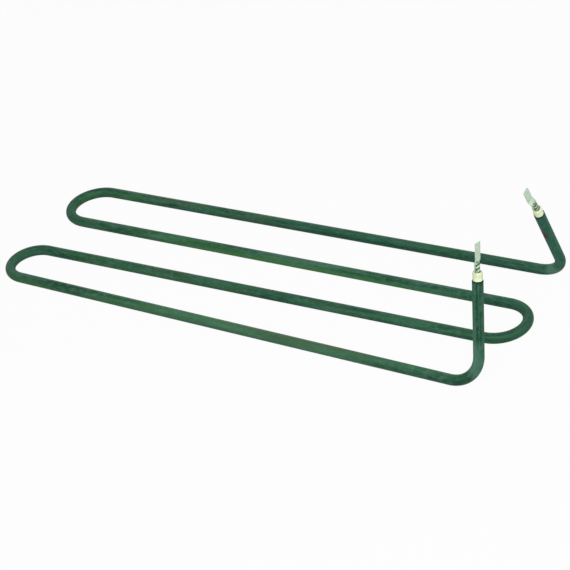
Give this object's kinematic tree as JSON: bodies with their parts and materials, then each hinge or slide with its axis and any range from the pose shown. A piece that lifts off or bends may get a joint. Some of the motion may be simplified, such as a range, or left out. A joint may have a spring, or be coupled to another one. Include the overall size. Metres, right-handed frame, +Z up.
{
  "type": "tubular heating element",
  "caption": "Metal-sheathed tubular heating element: a flat serpentine of parallel runs with two upturned legs, ceramic end beads and push-on tabs.",
  "frame": {"origin": "under the middle of the whole element's bounding box, on the surface that the serpentine lies on", "axes": "+X along the runs, towards the legs; +Y from the front run to the rear run; +Z up, the way the legs stand"},
  "size_m": [0.4626, 0.162, 0.1188],
  "materials": {
    "sheath": "satin",
    "powder": "matte",
    "winding": "satin",
    "seal": "matte",
    "bead": "satin",
    "pin": "satin",
    "tab": "satin"
  },
  "bodies": {
    "root": {"sheath_tube": "sheath", "insulating_fill": "powder", "resistance_coil": "winding", "end_seal_front": "seal", "ceramic_bead_front": "bead", "terminal_pin_front": "pin", "tab_terminal_front": "tab", "end_seal_rear": "seal", "ceramic_bead_rear": "bead", "terminal_pin_rear": "pin", "tab_terminal_rear": "tab"}
  },
  "joints": []
}
